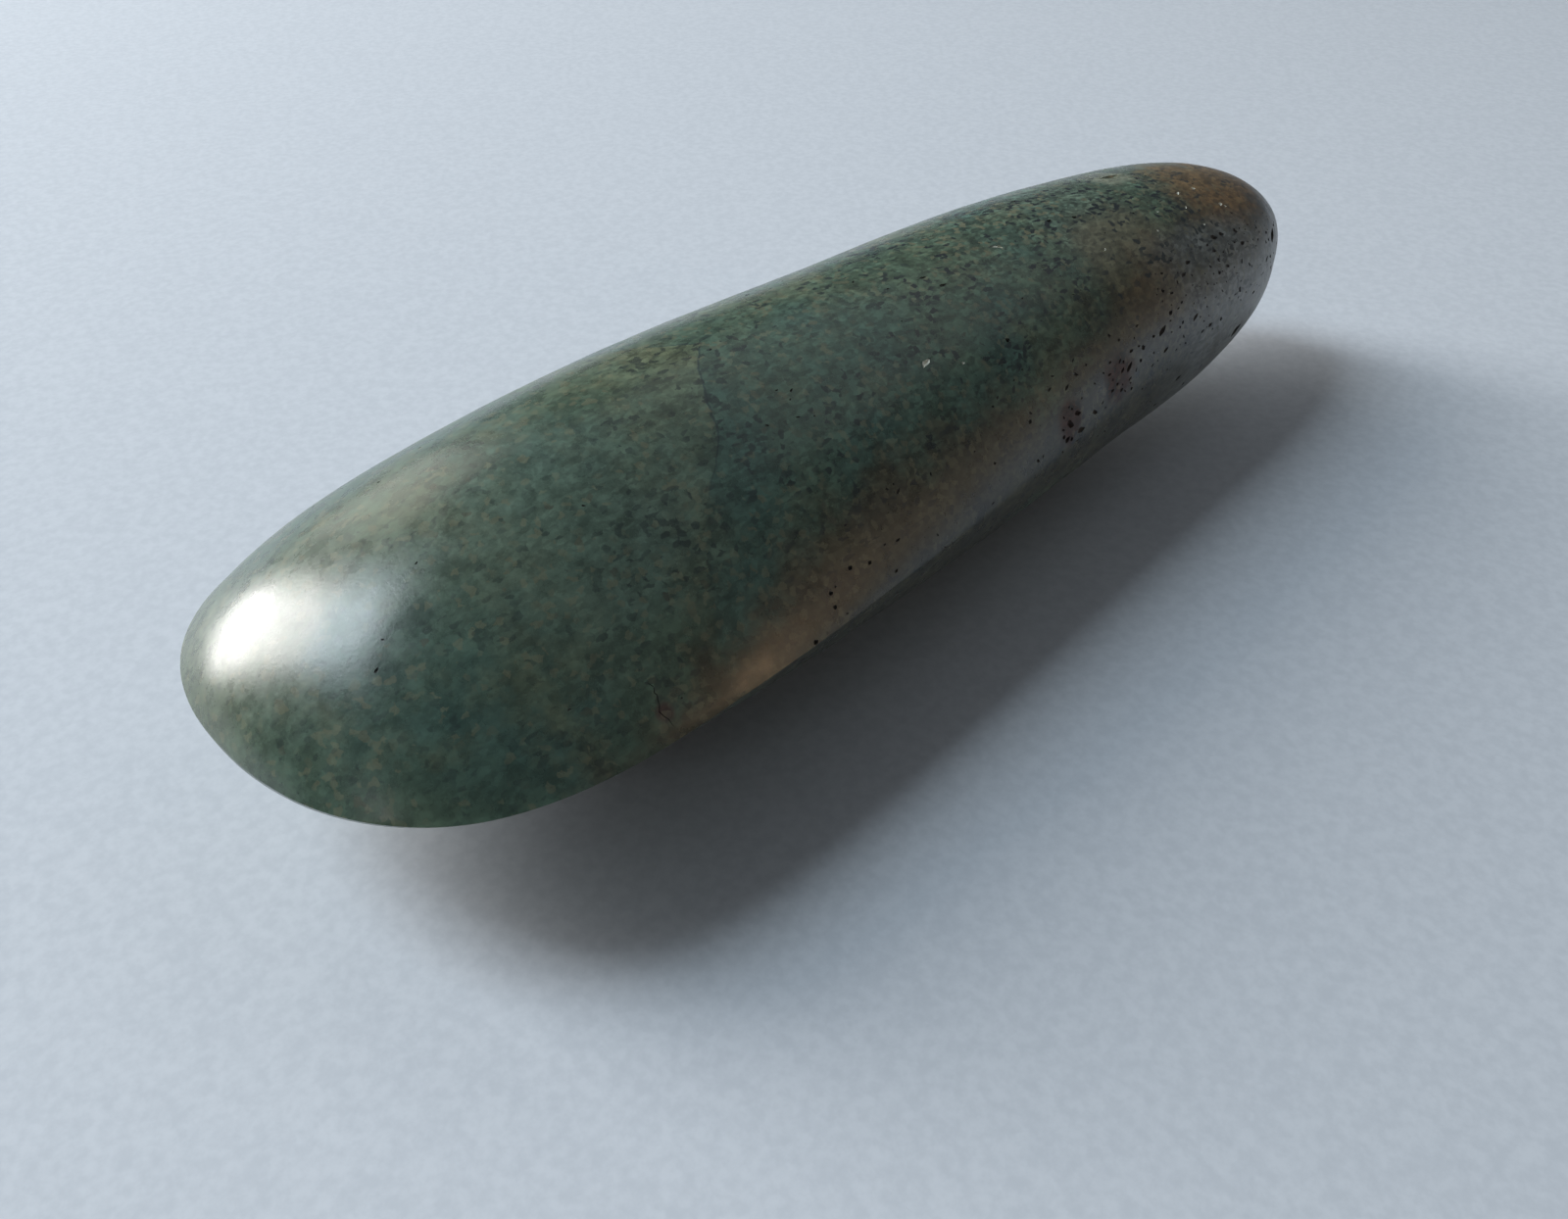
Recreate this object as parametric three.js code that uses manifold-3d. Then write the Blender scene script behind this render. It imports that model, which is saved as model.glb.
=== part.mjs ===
// A polished stone axe head, ground from one piece of green stone, lying on its side.
//
// Millimetres, +Z up. The cutting edge looks along -X and the butt, or poll, along +X.
// The origin is the middle of the small flat spot that the head rests on.
//
// The head is a loft. Each cross-section is as wide as the plan outline and as thick as
// the side outline at its place along the head. Near the cutting edge the section is a
// lens with a keen rim, and it fills out to a rounded oval at the poll.

import * as THREE from 'three';
import { mergeVertices } from 'three/addons/utils/BufferGeometryUtils.js';
import Module from 'manifold-3d';

// ---- driving dimensions -----------------------------------------------------------

const LENGTH = 150;             // from the middle of the cutting edge to the poll
const WIDTH = 49.5;             // at the widest place, close behind the cutting edge
const THICKNESS = 35.2;         // at the thickest place, a little short of mid-length
const REST_CUT = 0.6;           // how deep the belly is worn flat, so that the head can't roll

// Places along the head are fractions of its length, from the cutting edge to the poll.
// An outline rises from nothing at one end to its full size at its peak, and falls to
// nothing at the other end. bow bends the line from the peak outwards, and blunt rounds
// off the end that it runs into.
const PLAN = {
  peak: 0.21,
  edge: { bow: 3.16, blunt: 2.22 },
  poll: { bow: 1.20, blunt: 3.23 },
};
const SIDE = {
  peak: 0.44,
  edge: { bow: 3.16, blunt: 1.55 },
  poll: { bow: 1.77, blunt: 3.30 },
};

// Between the broad bit and the poll the plan is drawn in a little, as a soft waist.
const WAIST = { at: 0.65, span: 0.226, share: 0.08 };

// Fullness of a cross-section: 1 is a lens, 2 is an ellipse, and above 2 it squares up.
const LENS_UNTIL = 0.18;
const LENS_FULLNESS = 1.0;
const POLL_FULLNESS = 2.8;
const FULLNESS_RISE = 1.42;

// ---- fineness of the facets ---------------------------------------------------------

const STATIONS = 60;            // cross-sections along the head, closest together at its ends
const SIDES = 64;               // facets around each cross-section
const NEWTON_STEPS = 8;

// ---- the outlines -------------------------------------------------------------------

// How far an outline has risen, from 0 to 1, at a place along the head.
function outline(place, { peak, edge, poll }) {
  const end = place < peak ? edge : poll;
  const run = place < peak ? peak : 1 - peak;
  const away = Math.abs(place - peak) / run;
  return Math.pow(Math.max(0, 1 - Math.pow(away, end.bow)), 1 / end.blunt);
}

function waist(place) {
  return 1 - WAIST.share * Math.exp(-(((place - WAIST.at) / WAIST.span) ** 2));
}

function fullness(place) {
  const along = Math.max(0, (place - LENS_UNTIL) / (1 - LENS_UNTIL));
  return LENS_FULLNESS + (POLL_FULLNESS - LENS_FULLNESS) * Math.pow(along, FULLNESS_RISE);
}

// The point of a unit cross-section that a ray from its centre meets. The section is
// the curve y * y + |z| ** full = 1, and Newton's method finds the length of the ray.
function sectionPoint(angle, full) {
  const acrossPart = Math.cos(angle) ** 2;
  const upPart = Math.abs(Math.sin(angle)) ** full;
  let ray = 1;
  for (let step = 0; step < NEWTON_STEPS; step += 1) {
    const miss = acrossPart * ray * ray + upPart * ray ** full - 1;
    const slope = 2 * acrossPart * ray + full * upPart * ray ** (full - 1);
    ray -= miss / slope;
  }
  return { across: ray * Math.cos(angle), up: ray * Math.sin(angle) };
}

// ---- the ground shape ---------------------------------------------------------------

// A unit sphere with its poles on the X axis is drawn out to the head: what was its
// height along X becomes the place along the head, and the angle around X is kept.
function groundShape() {
  const geometry = new THREE.SphereGeometry(1, SIDES, STATIONS);
  geometry.rotateZ(Math.PI / 2);
  const points = geometry.attributes.position;
  for (let i = 0; i < points.count; i += 1) {
    const place = THREE.MathUtils.clamp((1 + points.getX(i)) / 2, 0, 1);
    const angle = Math.atan2(points.getZ(i), points.getY(i));
    const section = sectionPoint(angle, fullness(place));
    points.setXYZ(
      i,
      (place - 0.5) * LENGTH,
      section.across * outline(place, PLAN) * waist(place) * WIDTH / 2,
      section.up * outline(place, SIDE) * THICKNESS / 2,
    );
  }
  return geometry;
}

// ---- solids -------------------------------------------------------------------------

const wasm = await Module();
wasm.setup();

function toSolid(geometry) {
  const bare = geometry.clone();
  bare.deleteAttribute('normal');
  bare.deleteAttribute('uv');
  const merged = mergeVertices(bare, 1e-4);
  return new wasm.Manifold(new wasm.Mesh({
    numProp: 3,
    vertProperties: new Float32Array(merged.attributes.position.array),
    triVerts: new Uint32Array(merged.index.array),
  }));
}

function toGeometry(solid) {
  const mesh = solid.getMesh();
  const geometry = new THREE.BufferGeometry();
  geometry.setAttribute('position', new THREE.BufferAttribute(mesh.vertProperties, mesh.numProp));
  geometry.setIndex(new THREE.BufferAttribute(mesh.triVerts, 1));
  geometry.computeVertexNormals();
  return geometry;
}

// The block that takes the rest spot off the belly. Its top is where the spot will be.
function restCutter(spotHeight) {
  const block = new THREE.BoxGeometry(LENGTH, WIDTH, THICKNESS);
  block.translate(0, 0, spotHeight - THICKNESS / 2);
  return block;
}

function axeHead() {
  const spotHeight = REST_CUT - THICKNESS / 2;
  const solid = toSolid(groundShape()).subtract(toSolid(restCutter(spotHeight)));
  const geometry = toGeometry(solid);
  geometry.translate(0, 0, -spotHeight);
  const greenstone = new THREE.MeshStandardMaterial({
    color: 0x46513f,
    roughness: 0.28,
    metalness: 0,
  });
  const head = new THREE.Mesh(geometry, greenstone);
  head.name = 'axe_head';
  return head;
}

const axe = new THREE.Group();
axe.add(axeHead());

export default axe;
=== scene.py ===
"""A polished stone axe head, lying on its broad face on a pale floor.

The head is one stone. It is ground from a round blank to the frame's solid, its skin is
given the slight waviness of hand grinding, the rest spot is worn flat, and then a flake
scar, pits, bruises and cracks are cut into it. The stone's finish is worked out from
places on the head, in millimetres.
"""

import math
import random
from types import SimpleNamespace

import bmesh
import bpy
from mathutils import Matrix, Vector


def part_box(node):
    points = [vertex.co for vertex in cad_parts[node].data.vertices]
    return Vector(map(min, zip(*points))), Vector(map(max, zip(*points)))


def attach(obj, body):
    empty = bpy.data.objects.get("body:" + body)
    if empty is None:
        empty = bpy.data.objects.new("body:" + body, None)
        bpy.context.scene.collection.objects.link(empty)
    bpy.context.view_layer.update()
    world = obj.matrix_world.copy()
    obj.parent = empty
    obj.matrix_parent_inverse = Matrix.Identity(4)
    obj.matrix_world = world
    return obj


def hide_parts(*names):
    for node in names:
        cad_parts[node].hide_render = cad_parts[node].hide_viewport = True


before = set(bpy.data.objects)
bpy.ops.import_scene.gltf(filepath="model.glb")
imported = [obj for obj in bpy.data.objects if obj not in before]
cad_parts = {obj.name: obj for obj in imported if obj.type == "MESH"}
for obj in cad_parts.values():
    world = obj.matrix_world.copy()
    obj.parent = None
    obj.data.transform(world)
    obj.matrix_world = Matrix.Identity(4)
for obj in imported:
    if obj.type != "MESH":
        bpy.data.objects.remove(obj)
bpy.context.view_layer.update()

MM = 0.001
NODE = "axe_head"

# ---- the head's sizes, taken from the frame -----------------------------------------

LOW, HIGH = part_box(NODE)
REST_CUT = 0.6 * MM             # how much of the belly the rest spot takes away
LENGTH = HIGH.x - LOW.x
WIDTH = HIGH.y - LOW.y
THICKNESS = HIGH.z - LOW.z + REST_CUT
MIDDLE = HIGH.z - THICKNESS / 2

# Places along the head run from 0 at the cutting edge to 1 at the poll. Angles go round
# a cross-section in degrees: 0 is the far rim, 90 the crest and 180 the near rim.
# An outline peaks at one place. Its fall to each end is bowed and blunt by two powers.
PLAN = {"peak": 0.21, "edge": (3.16, 2.22), "poll": (1.20, 3.23)}
SIDE = {"peak": 0.44, "edge": (3.16, 1.55), "poll": (1.77, 3.30)}
WAIST = {"at": 0.65, "span": 0.226, "share": 0.08}
# A cross-section is a lens up to a place, and from there its power grows to the poll's.
LENS_UNTIL = 0.18
POLL_FULLNESS = 2.8
FULLNESS_RISE = 1.42
NEWTON_STEPS = 8


def outline(place, peak, edge, poll):
    """How far an outline has risen, from 0 to 1, at a place along the head."""
    bow, blunt = edge if place < peak else poll
    run = peak if place < peak else 1 - peak
    away = abs(place - peak) / run
    return max(0.0, 1 - away**bow) ** (1 / blunt)


def half_width(place):
    waist = 1 - WAIST["share"] * math.exp(-(((place - WAIST["at"]) / WAIST["span"]) ** 2))
    return outline(place, **PLAN) * waist * WIDTH / 2


def half_thickness(place):
    return outline(place, **SIDE) * THICKNESS / 2


def section_ray(angle, place):
    """How far a unit cross-section reaches at an angle: a lens at the bit, an oval later."""
    along = max(0.0, (place - LENS_UNTIL) / (1 - LENS_UNTIL))
    full = 1 + (POLL_FULLNESS - 1) * along**FULLNESS_RISE
    across = math.cos(angle) ** 2
    up = abs(math.sin(angle)) ** full
    ray = 1.0
    for _ in range(NEWTON_STEPS):
        miss = across * ray * ray + up * ray**full - 1
        ray -= miss / (2 * across * ray + full * up * ray ** (full - 1))
    return ray


def skin(place, angle):
    """The point of the ground form at a place and an angle in radians."""
    ray = section_ray(angle, place)
    return Vector((
        (place - 0.5) * LENGTH,
        ray * math.cos(angle) * half_width(place),
        ray * math.sin(angle) * half_thickness(place) + MIDDLE,
    ))


# ---- small tools ---------------------------------------------------------------------


def only(piece):
    """Selects this piece alone, and makes it the active one."""
    bpy.ops.object.select_all(action="DESELECT")
    piece.select_set(True)
    bpy.context.view_layer.objects.active = piece


def finish_with(piece, kind, **settings):
    """Adds a modifier with these settings and applies it."""
    only(piece)
    modifier = piece.modifiers.new(kind.lower(), kind)
    for name, value in settings.items():
        setattr(modifier, name, value)
    bpy.ops.object.modifier_apply(modifier=modifier.name)


# ---- the stone's finish --------------------------------------------------------------

# The stone's greens and browns, and the colours of its flecks, pits and bruises.
DEEP_TEAL = (0.043, 0.086, 0.070, 1)
MOSS_GREEN = (0.060, 0.094, 0.061, 1)
OLIVE = (0.104, 0.119, 0.070, 1)
PALE_FLECK = (0.175, 0.165, 0.100, 1)
DARK_FLECK = (0.012, 0.019, 0.021, 1)
# The browns are partly a real stain and partly a painted reflection of warm light on the near
# flank.
BROWN = (0.053, 0.046, 0.027, 1)
DARK_BROWN = (0.034, 0.030, 0.021, 1)
PIT_DIRT = (0.022, 0.014, 0.012, 1)
BRUISE = (0.800, 0.800, 0.700, 1)

# What is washed over the green: its colour, and how much of the green it hides.
WASHES = {
    "sea green": ((0.086, 0.130, 0.104, 1), 0.55),
    "pale side of the seam": (OLIVE, 0.42),
    "dark side of the seam": (DEEP_TEAL, 0.38),
    "seam line": ((0.022, 0.040, 0.038, 1), 0.85),
    # The thin bit's wash is a painted sheen: the window's light on the bit, paler and warmer.
    "thin bit": (OLIVE, 0.70),
    "rust": ((0.165, 0.095, 0.038, 1), 0.80),
    # The battered band's pale wash is partly battered stone and partly a painted reflection of the
    # bright floor.
    "battered band": ((0.150, 0.165, 0.160, 1), 0.85),
    # The fresh stone wash is a painted highlight on the flake scar's facet.
    "fresh stone": ((0.300, 0.310, 0.230, 1), 0.55),
    "red earth": ((0.052, 0.019, 0.016, 1), 0.85),
}
# The brown over the near flank is a real stain with a painted reflection of warm light in it.
STAIN_AND_REFLECTION_SHARE = 0.85              # how much of the green the brown hides
FAINT_RUST_SHARE = 0.45         # how strong the faint rust is, beside the rest

# Patches of the skin: place, angle, and reach in millimetres.
SEA_PATCHES = ((0.190, 119, 17.0), (0.711, 100, 12.0))
RUST_PATCHES = ((0.880, 110, 12.0), (0.930, 98, 9.0))
FAINT_RUST_PATCHES = ((0.715, 128, 11.0),)
# The flake scar's patch carries a painted highlight.
SCAR_HIGHLIGHT_PATCHES = ((0.802, 83, 4.2),)
RED_PATCHES = ((0.581, 171, 3.4), (0.650, 168, 4.2), (0.181, 172, 1.1))
DARK_PATCHES = ((0.235, 134, 8.0), (0.313, 110, 6.0))
PATCH_CORE = 0.35               # the share of its reach within which a patch is full

# Soft random drifts: size in millimetres, detail, roughness and seed.
WARP = (9, 3, 0.6, 4.0)
RAGGED = (2.2, 3, 0.6, 9.0)
MOTTLE = (2.2, 4, 0.65, 2.0)
TOOTH = (0.35, 3, 0.6, 5.0)
MOSS_DRIFT = (16, 4, 0.6, 1.0)
OLIVE_DRIFT = (9, 5, 0.7, 7.0)
# The next drift shades the near flank's brown: stain and painted warm reflection together.
BROWN_DRIFT = (6, 3, 0.6, 12.0)
BATTERED_AND_REFLECTION_DRIFT = (5, 3, 0.6, 15.0)
PALE_DRIFT = (8, 3, 0.6, 20.0)
DARK_DRIFT = (6, 3, 0.6, 30.0)

# How a drift becomes a thing: its value where there is none of it and where it is full, and
# how much none and full are, where they aren't 0 and 1.
MOTTLE_FADE = (0.30, 0.70)
MOSS_FADE = (0.32, 0.66)
OLIVE_FADE = (0.44, 0.74, 0.0, 0.80)
BROWN_DRIFT_FADE = (0.38, 0.62)
BATTERED_AND_REFLECTION_FADE = (0.24, 0.52)
PALE_FADE = (0.36, 0.62, 0.0, 0.15)
DARK_FADE = (0.42, 0.66, 0.0, 0.12)

# Soft ends, each from where there is none of a thing to where it is full. Along the head they
# are shares of the length from the cutting edge. Down it they are half widths from the middle
# line towards the near rim.
# Where the painted sheen of the window's light lies on the bit:
BIT_SHEEN_ALONG = (0.10, 0.0)
BIT_SHEEN_DOWN = (0.6, -0.4)
BAND_ALONG = ((0.70, 0.80), (0.97, 0.90))
BAND_DOWN = ((0.34, 0.48), (0.78, 0.62))
CREST_ALONG = (0.45, 0.66)
CREST_DOWN = (0.50, 0.15)

# The upper edge of the brown on the near flank, a real stain with a painted reflection of warm
# light: a share of the length from the cutting edge, and how far down from the middle line it lies
# there, in half widths.
BROWN_EDGE = (
    (0.00, 0.98), (0.24, 0.84), (0.29, 0.77), (0.35, 0.69), (0.43, 0.62), (0.50, 0.63),
    (0.59, 0.63), (0.68, 0.44), (0.85, 0.19), (1.00, 0.10),
)
BROWN_WARP = 0.55               # how far its edge wanders, widely and finely
BROWN_RAGGED = 0.20
BROWN_FADE = (-0.03, 0.14)      # from none to full, in half widths past its edge
BROWN_FROM = (4.0, 10.0)        # the same in millimetres above the floor

# The old healed seam across the head: how far out from the middle line, in half widths,
# and the share of the length where it runs.
SEAM = ((0.00, 0.350), (0.10, 0.333), (0.30, 0.312), (0.42, 0.300), (0.58, 0.266), (0.84, 0.233))
# How far it strays, half of its step in colour, and the soft ends of its pale side, its dark
# side and its hair line, as shares of the length past it.
SEAM_STRAY = 0.008
SEAM_STEP = 0.002
SEAM_PALE = (-0.10, -0.004)
SEAM_DARK = (0.13, 0.02)
SEAM_HAIR = (0.0013, 0.0004)
# The soft ends of the pale side and of the hair line down the head.
PALE_DOWN = (0.75, 0.1)
HAIR_DOWN = ((0.62, 0.40), (-0.30, -0.10))

# Crystals: sizes in millimetres, and the darkest and lightest of each.
WIDE_CRYSTALS = 0.62
WIDE_TONES = (0.82, 1.18)
FINE_CRYSTALS = 0.42
FINE_TONES = (0.75, 1.28)
FINE_SQUEEZED = (0.45, 1, 1)    # the fine crystals are drawn out along the head
CRYSTAL_WANDER = 2.0            # the detail of their wandering edges
MOTTLE_TONES = (0.76, 1.26)     # the darkest and lightest of the mottle
BIT_GRAIN = 0.42                # how much of the grain shows at the bit
GRAIN_ALONG = (0.05, 0.50)      # the shares of the length between which it grows to full
CREST_GRAIN = 0.55              # how much more of it shows along the crest by the poll
PALE_SHARE = (0.34, 0.62)       # how much pale flecks hide elsewhere, and along that crest
DARK_SHARE = 0.85               # how much dark flecks hide
# Which crystals are flecks, by their random numbers with the drift added.
PALE_PICK = (0.90, 1.05)
DARK_PICK = (0.94, 1.03)
FINE_PICK = (0.92, 1.05)
MORE_DARK = 0.07                # how much the dark patches add to that
# How smooth the stone is where it has none of the crest's grain, and where it has all of it.
SMOOTH_STONE = (0.6, 0.0)

ROUGHNESS = (0.24, 0.33)
# The brown and the pale band hold painted reflections in their colour; only their roughness is set
# here.
DULLER = 0.12                   # how much rougher the stained and battered stone is
STAIN_AND_REFLECTION_DULLNESS = 0.1            # the brown stain's share of that, and the red earth's
RED_DULLNESS = 2.5
STONE_IOR = 1.6

MIX_UNDER, MIX_OVER, MIX_OUT = 6, 7, 2  # a Mix node's sockets when it mixes colours


def add(tree, kind, feeds=None, **settings):
    """Adds a node. Each of its feeds is a plain value or the socket that drives it."""
    node = tree.nodes.new("ShaderNode" + kind)
    for name, value in settings.items():
        setattr(node, name, value)
    for name, value in (feeds or {}).items():
        if isinstance(value, bpy.types.NodeSocket):
            tree.links.new(value, node.inputs[name])
        else:
            node.inputs[name].default_value = value
    return node


def work_out(tree, operation, *values, clamp=False):
    node = add(tree, "Math", dict(enumerate(values)), operation=operation, use_clamp=clamp)
    return node.outputs[0]


def times(tree, *values):
    """Values multiplied. With masks, it is where all of them are."""
    whole = values[0]
    for value in values[1:]:
        whole = work_out(tree, "MULTIPLY", whole, value)
    return whole


def plus(tree, value, extra, share):
    """A value and this share of something extra."""
    return work_out(tree, "ADD", value, times(tree, extra, share))


def either(tree, *masks):
    """Where any of the masks is."""
    whole = masks[0]
    for mask in masks[1:]:
        whole = work_out(tree, "MAXIMUM", whole, mask)
    return whole


def blend(tree, share, under, over, how="MIX"):
    feeds = {0: share, MIX_UNDER: under, MIX_OVER: over}
    return add(tree, "Mix", feeds, data_type="RGBA", blend_type=how).outputs[MIX_OUT]


def wash(tree, colour, mask, over, share):
    """Lays a colour over the stone where the mask is, hiding this share of it."""
    return blend(tree, times(tree, mask, share), colour, over)


def ease(tree, value, start, end, low=0.0, high=1.0):
    """Goes softly from low at the start to high at the end, and stays there."""
    feeds = {"Value": value, "From Min": start, "From Max": end, "To Min": low, "To Max": high}
    return add(tree, "MapRange", feeds, interpolation_type="SMOOTHSTEP").outputs["Result"]


def between(tree, value, start, end):
    """1 between two soft ends, and 0 beyond them."""
    return times(tree, ease(tree, value, *start), ease(tree, value, *end))


def clouds(tree, spot, size, detail, rough, seed):
    """Soft random values around 0.5, in patches of this size in millimetres."""
    feeds = {"Vector": spot, "W": seed, "Scale": 1 / size, "Detail": detail, "Roughness": rough}
    return add(tree, "TexNoise", feeds, noise_dimensions="4D").outputs["Fac"]


def curve(tree, value, points):
    """A curve drawn through these points."""
    node = add(tree, "FloatCurve", {"Value": value})
    line = node.mapping.curves[0]
    for index, (along, height) in enumerate(points):
        if index < 2:
            line.points[index].location = (along, height)
        else:
            line.points.new(along, height)
    node.mapping.update()
    return node.outputs["Value"]


def near(tree, spot, patches, ragged):
    """1 in the middle of each patch, and 0 beyond its ragged edge."""
    masks = []
    for place, degrees, reach in patches:
        centre = skin(place, math.radians(degrees)) / MM
        feeds = {0: spot, 1: tuple(centre)}
        away = add(tree, "VectorMath", feeds, operation="DISTANCE").outputs["Value"]
        away = plus(tree, away, ragged, reach)
        masks.append(ease(tree, away, reach, reach * PATCH_CORE))
    return either(tree, *masks)


def crystals(tree, spot, size):
    """Three random numbers for each crystal of about this size, with wandering edges."""
    wander = add(tree, "TexNoise", {"Vector": spot, "Scale": 1 / size, "Detail": CRYSTAL_WANDER})
    shift = {"Vector": wander.outputs["Color"], "Location": (-size / 2,) * 3, "Scale": (size,) * 3}
    shift = add(tree, "Mapping", shift).outputs[0]
    moved = add(tree, "VectorMath", {0: spot, 1: shift}, operation="ADD").outputs[0]
    cell = add(tree, "TexVoronoi", {"Vector": moved, "Scale": 1 / size}).outputs["Color"]
    return add(tree, "SeparateColor", {0: cell}).outputs


def whereabouts(tree, spot):
    """Where a spot lies on the head: its share of the length from the cutting edge, how far
    it is from the middle line towards the near rim in half widths, and its height. The
    warp and the ragged values around 0 make the edges of patches wander."""
    place = add(tree, "SeparateXYZ", {0: spot}).outputs
    from_edge = work_out(tree, "ADD", place["X"], LENGTH / MM / 2)
    return SimpleNamespace(
        spot=spot,
        length=work_out(tree, "DIVIDE", from_edge, LENGTH / MM),
        down=work_out(tree, "DIVIDE", place["Y"], -HIGH.y / MM),
        height=place["Z"],
        warp=work_out(tree, "SUBTRACT", clouds(tree, spot, *WARP), 0.5),
        ragged=work_out(tree, "SUBTRACT", clouds(tree, spot, *RAGGED), 0.5),
    )


def greens(tree, at):
    """Wide drifts of teal, moss and olive, and two paler stretches: one behind the bit and
    one on the crest by the poll."""
    moss = ease(tree, clouds(tree, at.spot, *MOSS_DRIFT), *MOSS_FADE)
    colour = blend(tree, moss, DEEP_TEAL, MOSS_GREEN)
    olive = ease(tree, clouds(tree, at.spot, *OLIVE_DRIFT), *OLIVE_FADE)
    colour = blend(tree, olive, colour, OLIVE)
    sea = near(tree, at.spot, SEA_PATCHES, at.warp)
    return wash(tree, colour, sea, *WASHES["sea green"])


def healed_seam(tree, at, colour):
    """A step in colour, paler on its bit side and darker beyond it, with a hair line."""
    seam = curve(tree, work_out(tree, "ABSOLUTE", at.down), SEAM)
    past = plus(tree, work_out(tree, "SUBTRACT", at.length, seam), at.ragged, SEAM_STRAY)
    pale = between(tree, past, SEAM_PALE, (SEAM_STEP, -SEAM_STEP))
    pale = times(tree, pale, ease(tree, at.down, *PALE_DOWN))
    colour = wash(tree, colour, pale, *WASHES["pale side of the seam"])
    dark = between(tree, past, SEAM_DARK, (-SEAM_STEP, SEAM_STEP))
    colour = wash(tree, colour, dark, *WASHES["dark side of the seam"])
    hair = ease(tree, work_out(tree, "ABSOLUTE", past), *SEAM_HAIR)
    hair = times(tree, hair, between(tree, at.down, *HAIR_DOWN))
    return wash(tree, colour, hair, *WASHES["seam line"])


def painted_bit_sheen(tree, at, colour):
    """The bit is washed a paler, warmer olive, most on its far side: a painted sheen of the
    window's light.
    """
    thin = times(tree, ease(tree, at.length, *BIT_SHEEN_ALONG), ease(tree, at.down, *BIT_SHEEN_DOWN))
    return wash(tree, colour, thin, *WASHES["thin bit"])


def brown_stain_and_warm_reflection(tree, at, colour):
    """Brown up the near flank, with a patchy edge: partly a real stain, partly a painted
    reflection of warm light. It stops short of the belly.
    """
    into = work_out(tree, "SUBTRACT", at.down, curve(tree, at.length, BROWN_EDGE))
    into = plus(tree, into, at.warp, BROWN_WARP)
    into = plus(tree, into, at.ragged, BROWN_RAGGED)
    stain_and_reflection = times(tree, ease(tree, into, *BROWN_FADE), ease(tree, at.height, *BROWN_FROM))
    # The brown, stain and painted warm reflection together, drifts between two shades.
    earth = ease(tree, clouds(tree, at.spot, *BROWN_DRIFT), *BROWN_DRIFT_FADE)
    earth = blend(tree, earth, DARK_BROWN, BROWN)
    return wash(tree, colour, stain_and_reflection, earth, STAIN_AND_REFLECTION_SHARE), stain_and_reflection


def rusty_poll(tree, at, colour):
    rust = either(
        tree,
        near(tree, at.spot, RUST_PATCHES, at.ragged),
        times(tree, near(tree, at.spot, FAINT_RUST_PATCHES, at.warp), FAINT_RUST_SHARE),
    )
    return wash(tree, colour, rust, *WASHES["rust"]), rust


def battered_band_and_reflection(tree, at, colour):
    """The poll's battered band, which is pale: partly battered stone, partly a painted reflection
    of the bright floor. From end to end, and then across it.
    """
    band = between(tree, at.length, *BAND_ALONG)
    across = between(tree, at.down, *BAND_DOWN)
    patchy = ease(tree, clouds(tree, at.spot, *BATTERED_AND_REFLECTION_DRIFT), *BATTERED_AND_REFLECTION_FADE)
    band = times(tree, band, across, patchy)
    return wash(tree, colour, band, *WASHES["battered band"]), band


def grain(tree, at, colour, mottle, smooth):
    """Every crystal is a little lighter or darker, with pale flecks and dark ones between.

    The polish has closed the grain up towards the bit. Along the crest by the poll it is
    crisper, and more of its flecks are pale, except where the stone is smooth.
    """
    wide_tone, pale_pick, dark_pick = crystals(tree, at.spot, WIDE_CRYSTALS)
    drawn_out = add(tree, "Mapping", {"Vector": at.spot, "Scale": FINE_SQUEEZED}).outputs[0]
    fine_tone, _, fine_pick = crystals(tree, drawn_out, FINE_CRYSTALS)

    crest = times(tree, ease(tree, at.length, *CREST_ALONG), ease(tree, at.down, *CREST_DOWN))
    crest = times(tree, crest, ease(tree, smooth, *SMOOTH_STONE))
    shows = ease(tree, at.length, *GRAIN_ALONG, BIT_GRAIN, 1.0)
    shows = plus(tree, shows, crest, CREST_GRAIN)

    wide_tone = ease(tree, wide_tone, 0.0, 1.0, *WIDE_TONES)
    fine_tone = ease(tree, fine_tone, 0.0, 1.0, *FINE_TONES)
    tone = work_out(tree, "POWER", times(tree, wide_tone, fine_tone), shows)
    light = times(tree, ease(tree, mottle, *MOTTLE_FADE, *MOTTLE_TONES), tone)
    light = add(tree, "CombineColor", {0: light, 1: light, 2: light}).outputs[0]
    colour = blend(tree, 1.0, colour, light, "MULTIPLY")

    drift = ease(tree, clouds(tree, at.spot, *PALE_DRIFT), *PALE_FADE)
    pale = ease(tree, work_out(tree, "ADD", pale_pick, drift), *PALE_PICK)
    pale = times(tree, pale, ease(tree, crest, 0.0, 1.0, *PALE_SHARE))
    colour = blend(tree, pale, colour, PALE_FLECK)

    drift = ease(tree, clouds(tree, at.spot, *DARK_DRIFT), *DARK_FADE)
    drift = plus(tree, drift, near(tree, at.spot, DARK_PATCHES, at.warp), MORE_DARK)
    dark = either(
        tree,
        ease(tree, work_out(tree, "ADD", dark_pick, drift), *DARK_PICK),
        ease(tree, work_out(tree, "ADD", fine_pick, drift), *FINE_PICK),
    )
    return blend(tree, times(tree, dark, times(tree, shows, DARK_SHARE)), colour, DARK_FLECK)


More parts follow.
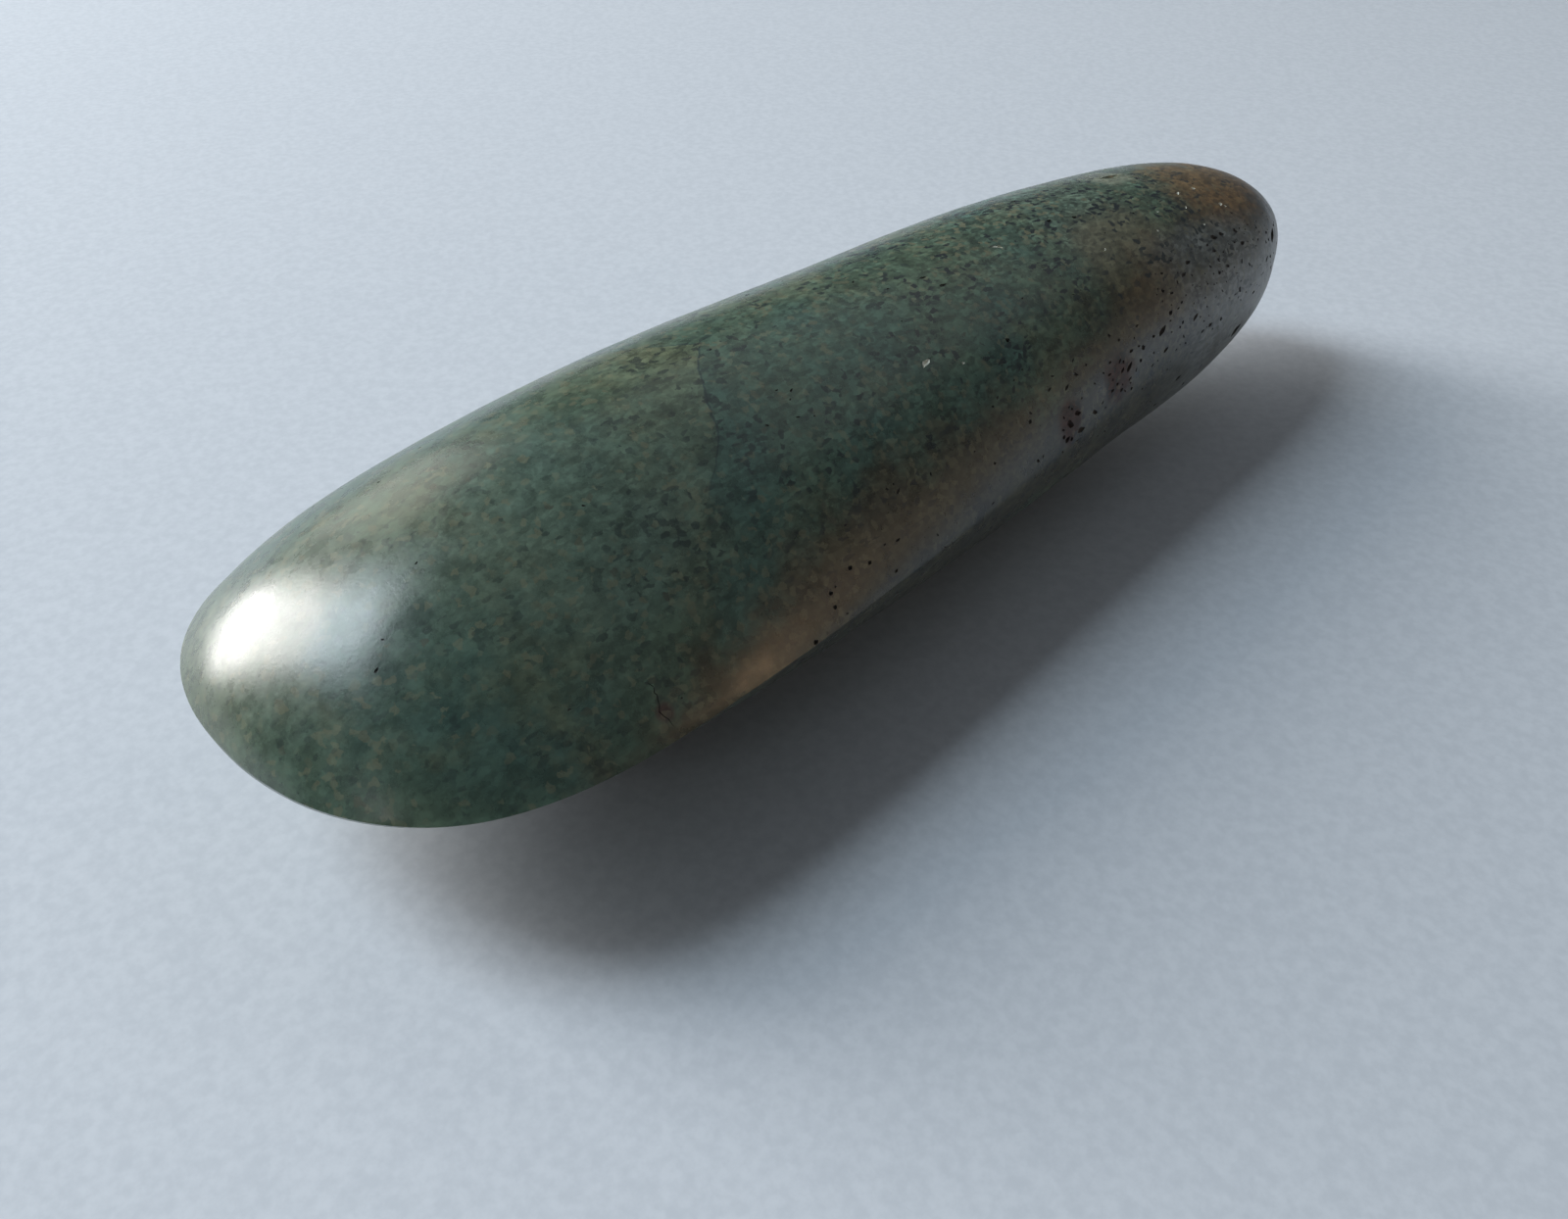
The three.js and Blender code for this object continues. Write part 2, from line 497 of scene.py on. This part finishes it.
def greenstone_ground():
    """The stone's colour, roughness and relief, shared by its skin, pits and bruises."""
    tree = bpy.data.node_groups.new("greenstone ground", "ShaderNodeTree")
    tree.interface.new_socket("Spot", in_out="INPUT", socket_type="NodeSocketVector")
    for name, kind in (("Colour", "Color"), ("Roughness", "Float"), ("Relief", "Float")):
        tree.interface.new_socket(name, in_out="OUTPUT", socket_type="NodeSocket" + kind)
    at = whereabouts(tree, tree.nodes.new("NodeGroupInput").outputs["Spot"])

    colour = greens(tree, at)
    colour = healed_seam(tree, at, colour)
    # The bit's paler olive is a painted sheen; the brown and the pale band hold painted
    # reflections.
    colour = painted_bit_sheen(tree, at, colour)
    colour, stain_and_reflection = brown_stain_and_warm_reflection(tree, at, colour)
    colour, rust = rusty_poll(tree, at, colour)
    colour, band = battered_band_and_reflection(tree, at, colour)
    # The flake scar is washed pale: a painted highlight on its facet.
    scar = near(tree, at.spot, SCAR_HIGHLIGHT_PATCHES, at.ragged)
    colour = wash(tree, colour, scar, *WASHES["fresh stone"])
    red = near(tree, at.spot, RED_PATCHES, at.ragged)
    colour = wash(tree, colour, red, *WASHES["red earth"])
    mottle = clouds(tree, at.spot, *MOTTLE)
    colour = grain(tree, at, colour, mottle, either(tree, scar, rust))

    dull = times(tree, stain_and_reflection, STAIN_AND_REFLECTION_DULLNESS)
    dull = either(tree, dull, band, rust, times(tree, red, RED_DULLNESS))
    rough = plus(tree, ease(tree, mottle, *MOTTLE_FADE, *ROUGHNESS), dull, DULLER)
    relief = work_out(tree, "ADD", clouds(tree, at.spot, *TOOTH), mottle)

    out = tree.nodes.new("NodeGroupOutput")
    for name, socket in (("Colour", colour), ("Roughness", rough), ("Relief", relief)):
        tree.links.new(socket, out.inputs[name])
    return tree


def in_millimetres(tree):
    """A spot of the object, in millimetres."""
    whole = add(tree, "TexCoord").outputs["Object"]
    return add(tree, "Mapping", {"Vector": whole, "Scale": (1 / MM, 1 / MM, 1 / MM)}).outputs[0]


def stone_finish(name, colour, share, rougher, relief):
    """The stone's ground washed over by this share of a colour, with its relief in mm."""
    material = bpy.data.materials.new(name)
    material.use_nodes = True
    tree = material.node_tree
    tree.nodes.clear()
    ground = add(tree, "Group", node_tree=GROUND)
    tree.links.new(in_millimetres(tree), ground.inputs["Spot"])
    washed = blend(tree, share, ground.outputs["Colour"], colour)
    rough = work_out(tree, "ADD", ground.outputs["Roughness"], rougher, clamp=True)
    bump = add(tree, "Bump", {"Height": ground.outputs["Relief"], "Distance": relief * MM})
    feeds = {"Base Color": washed, "Roughness": rough, "Normal": bump.outputs[0], "IOR": STONE_IOR}
    shader = add(tree, "BsdfPrincipled", feeds)
    add(tree, "OutputMaterial", {"Surface": shader.outputs[0]})
    return material


GROUND = greenstone_ground()
# Name, colour washed over the ground, its share, how much rougher, and relief in mm.
FINISHES = (
    stone_finish("polished greenstone", DEEP_TEAL, 0.0, 0.0, 0.010),
    stone_finish("pit floor", PIT_DIRT, 0.75, 0.45, 0.040),
    stone_finish("bruised stone", BRUISE, 0.80, 0.35, 0.040),
)

# ---- the blank and its grinding ------------------------------------------------------

BLANK_CUTS = 47
RIM_CREASE = 0.85
RIM_CREASE_UNTIL = 0.45         # the place along the head
ON_RIM = 0.001 * MM


def blank():
    """A cube, cut fine and blown up to a ball: an even skin with no poles."""
    bpy.ops.mesh.primitive_cube_add(size=2)
    head = bpy.context.object
    head.name = "polished_axe_head"
    bpy.ops.object.mode_set(mode="EDIT")
    bpy.ops.mesh.select_all(action="SELECT")
    bpy.ops.mesh.subdivide(number_cuts=BLANK_CUTS)
    bpy.ops.transform.tosphere(value=1)
    bpy.ops.object.mode_set(mode="OBJECT")
    return head


def grind_to_form(head):
    """The ball is drawn out along X, and each of its points goes to the ground form."""
    for vertex in head.data.vertices:
        point = vertex.co.normalized()
        place = min(max((1 + point.x) / 2, 0.0), 1.0)
        vertex.co = skin(place, math.atan2(point.z, point.y))


def keep_rim_keen(head):
    """Creases the rim around the bit, so that subdividing doesn't round it off."""
    only(head)
    bpy.ops.object.mode_set(mode="EDIT")
    bpy.ops.mesh.select_all(action="DESELECT")
    mesh = bmesh.from_edit_mesh(head.data)
    end = (RIM_CREASE_UNTIL - 0.5) * LENGTH
    for edge in mesh.edges:
        edge.select = all(abs(v.co.z - MIDDLE) < ON_RIM and v.co.x < end for v in edge.verts)
    bmesh.update_edit_mesh(head.data)
    bpy.ops.transform.edge_crease(value=RIM_CREASE)
    bpy.ops.object.mode_set(mode="OBJECT")


# Soft hollows where the grinding went a little deeper: place, angle, reach and depth.
HOLLOWS = (
    (0.49, 62, 13 * MM, 0.45 * MM),
    (0.70, 196, 9 * MM, 0.45 * MM),
    (0.30, 300, 16 * MM, 0.35 * MM),
    (0.78, 20, 10 * MM, 0.30 * MM),
)
# The long waves of the grinding, and the ripple on them.
WAVE_SIZE = 20 * MM
WAVE_DEPTH = 0.28 * MM
RIPPLE_SIZE = 5 * MM
RIPPLE_DEPTH = 0.05 * MM


def grind_hollows(head):
    """Each hollow falls away softly from its middle, down into the stone."""
    hollows = [
        (skin(place, math.radians(degrees)), reach, depth)
        for place, degrees, reach, depth in HOLLOWS
    ]
    normals = [vertex.normal.copy() for vertex in head.data.vertices]
    for vertex, normal in zip(head.data.vertices, normals):
        at = vertex.co.copy()
        for middle, reach, depth in hollows:
            away = (at - middle).length / reach
            vertex.co -= normal * depth * math.exp(-away * away)


def grinding_waves(head, size, depth):
    """The long unevenness that hand grinding leaves. It only ever goes inwards."""
    waves = bpy.data.textures.new("grinding waves", "CLOUDS")
    waves.noise_scale = size
    waves.noise_depth = 1
    finish_with(
        head, "DISPLACE",
        texture=waves, texture_coords="LOCAL", strength=depth, mid_level=1.0,
    )


def wear_rest_spot(head):
    """Cuts the belly flat at the floor."""
    bpy.ops.mesh.primitive_cube_add(size=1, location=(0, 0, -HIGH.z / 2))
    below = bpy.context.object
    below.dimensions = (LENGTH, HIGH.y * 4, HIGH.z)
    bpy.ops.object.transform_apply(location=True, rotation=True, scale=True)
    finish_with(head, "BOOLEAN", operation="DIFFERENCE", object=below, solver="MANIFOLD")
    bpy.data.objects.remove(below)


# ---- pits, bruises, cracks and the flake scar ----------------------------------------

STONE, PIT, BRUISED = range(3)  # the head's materials, in the order of its slots
LUMP_UNEVEN = 0.38              # a share of the lump's radius
LUMP_SEED = 5
SMOOTH_UNTIL = 35               # degrees: the skin is smooth, the pits' rims are sharp
PIT_LUMP = 1.35                 # how tall a pit's lump is, in depths of the pit
BRUISE_LUMP = 3                 # the same for a bruise, unless half its width is more


def lump():
    """One rough lump of radius 1. Every pit and bruise and the scar are cut by its copies."""
    bpy.ops.mesh.primitive_ico_sphere_add(subdivisions=2, radius=1)
    rough = bpy.context.object
    bpy.ops.object.mode_set(mode="EDIT")
    bpy.ops.mesh.select_all(action="SELECT")
    bpy.ops.transform.vertex_random(offset=LUMP_UNEVEN, seed=LUMP_SEED)
    bpy.ops.object.mode_set(mode="OBJECT")
    return rough


def on_stone(place, degrees):
    """The point of the real skin nearest to a place and an angle, and its normal."""
    _, point, normal, _ = head.closest_point_on_mesh(skin(place, math.radians(degrees)))
    return point, normal


def bite(cutter, place, degrees, long, wide, deep, turn, slot):
    """Adds a copy of the rough lump, turned and sunk to bite this deep into the stone."""
    point, normal = on_stone(place, degrees)
    along = (Vector((1, 0, 0)) - normal * normal.x).normalized()
    facing = Matrix((along, normal.cross(along), normal)).transposed().to_4x4()
    # A pit is cut by the lower part of a low lump, the rest by the tip of a tall one.
    tall = deep * PIT_LUMP if slot == PIT else max(deep * BRUISE_LUMP, wide / 2)
    size = Matrix.Diagonal((long / 2, wide / 2, tall, 1))
    spin = Matrix.Rotation(math.radians(turn), 4, "Z")
    sunk = rough_lump.data.copy()
    sunk.transform(Matrix.Translation(point + normal * (tall - deep)) @ facing @ spin @ size)
    for face in sunk.polygons:
        face.material_index = slot
    cutter.from_mesh(sunk)


def crooked(path, rng):
    """A crack's path in more and shorter steps, each strayed a little to the side."""
    stops = [path[0]]
    for (place, degrees), (next_place, next_degrees) in zip(path, path[1:]):
        for step in range(1, CRACK_STEPS + 1):
            share = step / CRACK_STEPS
            stray = rng.uniform(-1, 1) * CRACK_STRAY
            stops.append((
                place + (next_place - place) * share + stray,
                degrees + (next_degrees - degrees) * share - stray * CRACK_STRAY_ROUND,
            ))
    return stops


def blade(cutter, path, wide, deep, rng):
    """A long thin wedge that follows a crack and dies out at both of its ends."""
    spots = [on_stone(*stop) for stop in crooked(path, rng)]
    rings = []
    for index, (point, normal) in enumerate(spots):
        before = spots[max(index - 1, 0)][0]
        after = spots[min(index + 1, len(spots) - 1)][0]
        across = (after - before).cross(normal).normalized() * wide / 2
        along = index / (len(spots) - 1)
        swell = math.sin(math.pi * along) ** CRACK_SWELL
        share = max(CRACK_END, swell * rng.uniform(*CRACK_UNEVEN))
        rings.append([
            cutter.verts.new(point + normal * deep + across * share * BLADE_TOP),
            cutter.verts.new(point + normal * deep - across * share * BLADE_TOP),
            cutter.verts.new(point - normal * deep * share),
        ])
    faces = [cutter.faces.new(rings[0]), cutter.faces.new(rings[-1][::-1])]
    for one, other in zip(rings, rings[1:]):
        for side in range(3):
            turn = (side + 1) % 3
            faces.append(cutter.faces.new((one[turn], one[side], other[side], other[turn])))
    bmesh.ops.recalc_face_normals(cutter, faces=faces)
    for face in faces:
        face.material_index = PIT


def strewn(rng, count, places, angles, sizes, taken):
    """Pits over a stretch of the skin, clear of each other: mostly small, a few large."""
    for _ in range(count):
        place = rng.uniform(*places)
        degrees = rng.uniform(*angles)
        wide = (sizes[0] + (sizes[1] - sizes[0]) * rng.random() ** FEW_LARGE) * MM
        long = wide * rng.uniform(*PIT_LONG)
        turn = rng.gauss(0, PIT_TURN)
        deep = wide * rng.uniform(*PIT_DEEP)
        middle = skin(place, math.radians(degrees))
        if all((middle - other).length > (long + reach) * PITS_APART for other, reach in taken):
            taken.append((middle, long))
            yield place, degrees, long, wide, deep, turn


# Where pits are strewn: how many at most, places, angles in degrees, sizes in millimetres.
PITTED = (
    (160, (0.72, 0.95), (137, 178), (0.18, 0.62)),
    (14, (0.74, 0.97), (60, 135), (0.18, 0.38)),
    (40, (0.55, 0.74), (150, 182), (0.24, 0.65)),
    (26, (0.28, 0.60), (140, 182), (0.20, 0.50)),
    (44, (0.30, 0.86), (50, 135), (0.18, 0.42)),
    (10, (0.06, 0.30), (40, 175), (0.16, 0.26)),
    (60, (0.55, 0.97), (185, 410), (0.22, 0.70)),
    (40, (0.10, 0.55), (185, 390), (0.18, 0.45)),
)
PIT_SEED = 11
GROUPED_PIT_SIZES = (0.26, 0.95)
FEW_LARGE = 3                   # a power: the higher, the fewer of the pits are large
PIT_LONG = (1.0, 2.6)           # length and depth, in widths of the pit
PIT_DEEP = (0.3, 0.5)
PIT_TURN = 25                   # how far they stray from lying along the head, in degrees
PITS_APART = 0.62               # between the middles, a share of the two lengths together
# Close groups of pits: how many at most, place, angle, spread of places and of angles.
PIT_GROUPS = (
    (22, 0.581, 171, 0.013, 6),
    (30, 0.650, 168, 0.020, 8),
    (12, 0.700, 165, 0.020, 6),
)
# Single larger pits: place, angle, length, width and depth in millimetres, turn.
LONE_PITS = (
    (0.337, 167, 0.55, 0.45, 0.20, 10),
    (0.316, 170, 0.50, 0.40, 0.20, 0),
    (0.315, 174, 0.45, 0.45, 0.18, 30),
    (0.292, 179, 0.60, 0.45, 0.22, 0),
    (0.353, 169, 0.50, 0.40, 0.18, 15),
    (0.548, 134, 0.60, 0.50, 0.25, 0),
    (0.676, 101, 0.80, 0.45, 0.22, 8),
    (0.700, 104, 0.70, 0.50, 0.22, 0),
    (0.933, 154, 2.20, 1.10, 0.45, 40),
    (0.858, -166, 2.60, 1.20, 0.45, 10),
)
# Small pale bruises: place, angle, length, width and depth in millimetres, turn.
BRUISES = (
    (0.471, 127, 1.60, 0.75, 0.12, 12),
    (0.608, 103, 1.50, 0.36, 0.08, -35),
    (0.500, 133, 0.42, 0.35, 0.07, 0),
    (0.832, 110, 0.90, 0.55, 0.09, 20),
    (0.858, 110, 0.80, 0.50, 0.09, 0),
    (0.868, 124, 0.90, 0.60, 0.10, 15),
    (0.872, 126, 0.50, 0.40, 0.07, 0),
    (0.821, 119, 0.50, 0.30, 0.07, 45),
    (0.784, 116, 0.45, 0.30, 0.06, 0),
    (0.824, 130, 0.50, 0.35, 0.06, 10),
    (0.764, 124, 0.45, 0.35, 0.06, 0),
    (0.694, 122, 0.50, 0.30, 0.06, 30),
)
# The old flake scar by the poll's crest, in the same terms.
FLAKE_SCAR = (0.800, 83, 8.0, 2.4, 0.13, -8)
# Cracks, each a run of places and angles, with its width and depth in millimetres.
CRACKS = (
    (((0.177, 162), (0.182, 166), (0.179, 171), (0.183, 177.5)), 0.10, 0.15),
    (((0.806, 76), (0.822, 81), (0.829, 86), (0.822, 92), (0.821, 99), (0.829, 106),
      (0.836, 115)), 0.11, 0.14),
)
CRACK_STEPS = 4
CRACK_SEED = 23
CRACK_STRAY = 0.0016            # a share of the head's length
CRACK_STRAY_ROUND = 200         # degrees of angle for a stray of the whole length
CRACK_END = 0.12                # a crack is no thinner than this share of its size
CRACK_SWELL = 0.5               # a power: the lower, the sooner it has its full size
CRACK_UNEVEN = (0.6, 1.0)
BLADE_TOP = 3                   # how wide its blade is above the stone, in crack widths


def pits_and_bruises():
    """Every pit and every bruise, clear of each other, as one cutter."""
    rng = random.Random(PIT_SEED)
    cutter = bmesh.new()
    for place, degrees, long, wide, deep, turn in LONE_PITS:
        bite(cutter, place, degrees, long * MM, wide * MM, deep * MM, turn, PIT)
    for place, degrees, long, wide, deep, turn in BRUISES:
        bite(cutter, place, degrees, long * MM, wide * MM, deep * MM, turn, BRUISED)
    taken = [(skin(row[0], math.radians(row[1])), row[2] * MM) for row in LONE_PITS + BRUISES]
    for count, place, degrees, along, around in PIT_GROUPS:
        places = (place - along, place + along)
        angles = (degrees - around, degrees + around)
        for row in strewn(rng, count, places, angles, GROUPED_PIT_SIZES, taken):
            bite(cutter, *row, PIT)
    for count, places, angles, sizes in PITTED:
        for row in strewn(rng, count, places, angles, sizes, taken):
            bite(cutter, *row, PIT)
    return cutter


def flake_scar():
    """One broad shallow bite that keeps the stone's own finish."""
    place, degrees, long, wide, deep, turn = FLAKE_SCAR
    cutter = bmesh.new()
    bite(cutter, place, degrees, long * MM, wide * MM, deep * MM, turn, STONE)
    return cutter


def cracks():
    """The blades of all the cracks, as one cutter."""
    rng = random.Random(CRACK_SEED)
    cutter = bmesh.new()
    for path, wide, deep in CRACKS:
        blade(cutter, path, wide * MM, deep * MM, rng)
    return cutter


def cut_away(cutter):
    """Takes the cutters out of the stone. Their faces bring their own finish along."""
    tool = bpy.data.objects.new("cutter", bpy.data.meshes.new("cutter"))
    bpy.context.collection.objects.link(tool)
    cutter.to_mesh(tool.data)
    for material in head.data.materials:
        tool.data.materials.append(material)
    finish_with(head, "BOOLEAN", operation="DIFFERENCE", object=tool, solver="MANIFOLD")
    bpy.data.objects.remove(tool)


# ---- the head ------------------------------------------------------------------------

head = blank()
for material in FINISHES:
    head.data.materials.append(material)
grind_to_form(head)
keep_rim_keen(head)
finish_with(head, "SUBSURF", levels=1, render_levels=1)
grind_hollows(head)
grinding_waves(head, WAVE_SIZE, WAVE_DEPTH)
grinding_waves(head, RIPPLE_SIZE, RIPPLE_DEPTH)
wear_rest_spot(head)

rough_lump = lump()
cut_away(flake_scar())
cut_away(pits_and_bruises())
cut_away(cracks())
bpy.data.objects.remove(rough_lump)
only(head)
bpy.ops.object.shade_smooth_by_angle(angle=math.radians(SMOOTH_UNTIL))

# ---- camera, light and floor ---------------------------------------------------------

CAMERA_AT = Vector((-103.9, -93.1, 98.1)) * MM
CAMERA_LOOKS_AT = Vector((-13.6, -2.0, -0.6)) * MM
LENS = 33.75
SENSOR = 36
NEAREST = 5 * MM                # the camera sees nothing that is nearer

LIGHTS_AWAY = 1.6               # metres
# Soft lights, each as it is seen from the head: name, azimuth, elevation, width, height
# and lean in degrees, brightness and colour.
LIGHTS = (
    ("window", 114.5, 21, 20.8, 46.8, -21.3, 13, (1.0, 0.98, 0.95)),
    ("window's upper half", 132.5, 52.6, 20.8, 22.3, -27, 11, (0.80, 0.92, 1.0)),
    ("window's side", 83, 27, 17, 40, -3, 1.9, (1.0, 0.97, 0.88)),
    ("side light", 12, 50, 60, 26, 0, 0.34, (0.97, 0.99, 1.0)),
    ("warm wall", -42, 4, 33, 17, 0, 0.30, (1.0, 0.80, 0.55)),
    ("warm glow", -60, 13.5, 2.2, 9, 0, 21, (1.0, 0.66, 0.38)),
    ("far lamp", 192, 28, 8, 5, 0, 4, (0.92, 0.97, 1.0)),
)
SKY = (0.84, 0.93, 1.0, 1)
SKY_STRENGTH = 0.10

FLOOR_SIZE = 6                  # metres
# Two shades, and the soft random drift between them, in the stone's terms.
FLOOR_SHADES = ((0.52, 0.56, 0.62, 1), (0.58, 0.62, 0.68, 1))
FLOOR_DRIFT = (1.2, 4, 0.6, 2.0)
FLOOR_FADE = (0.3, 0.7)
FLOOR_ROUGHNESS = 0.9
FLOOR_SHINE = 0.2


def aim(thing, at):
    thing.rotation_euler = (at - thing.location).to_track_quat("-Z", "Y").to_euler()


def camera():
    bpy.ops.object.camera_add(location=CAMERA_AT)
    eye = bpy.context.object
    aim(eye, CAMERA_LOOKS_AT)
    eye.data.lens = LENS
    eye.data.sensor_width = SENSOR
    eye.data.clip_start = NEAREST
    bpy.context.scene.camera = eye


def pale_floor():
    bpy.ops.mesh.primitive_plane_add(size=FLOOR_SIZE)
    floor = bpy.context.object
    floor.name = "floor"
    material = bpy.data.materials.new("pale floor")
    material.use_nodes = True
    tree = material.node_tree
    shader = tree.nodes["Principled BSDF"]
    share = ease(tree, clouds(tree, in_millimetres(tree), *FLOOR_DRIFT), *FLOOR_FADE)
    colour = blend(tree, share, *FLOOR_SHADES)
    tree.links.new(colour, shader.inputs["Base Color"])
    shader.inputs["Roughness"].default_value = FLOOR_ROUGHNESS
    shader.inputs["Specular IOR Level"].default_value = FLOOR_SHINE
    floor.data.materials.append(material)


def soft_light(name, azimuth, elevation, wide, tall, lean, brightness, colour):
    """A panel of light that faces the head, and looks this wide and tall from there."""
    turn = math.radians(azimuth)
    up = math.radians(elevation)
    way = Vector((math.cos(turn) * math.cos(up), math.sin(turn) * math.cos(up), math.sin(up)))
    bpy.ops.object.light_add(type="AREA", location=way * LIGHTS_AWAY)
    lamp = bpy.context.object
    lamp.name = name
    lamp.data.shape = "RECTANGLE"
    lamp.data.size = 2 * LIGHTS_AWAY * math.tan(math.radians(wide / 2))
    lamp.data.size_y = 2 * LIGHTS_AWAY * math.tan(math.radians(tall / 2))
    lamp.data.energy = brightness * math.pi * lamp.data.size * lamp.data.size_y
    lamp.data.color = colour
    aim(lamp, Vector((0, 0, 0)))
    lamp.rotation_euler.rotate_axis("Z", math.radians(lean))


def soft_sky():
    world = bpy.data.worlds.new("soft sky")
    bpy.context.scene.world = world
    world.use_nodes = True
    sky = world.node_tree.nodes["Background"]
    sky.inputs["Color"].default_value = SKY
    sky.inputs["Strength"].default_value = SKY_STRENGTH


camera()
pale_floor()
for light in LIGHTS:
    soft_light(*light)
soft_sky()
bpy.context.scene.view_settings.view_transform = "Standard"

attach(head, "root")
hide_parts(NODE)
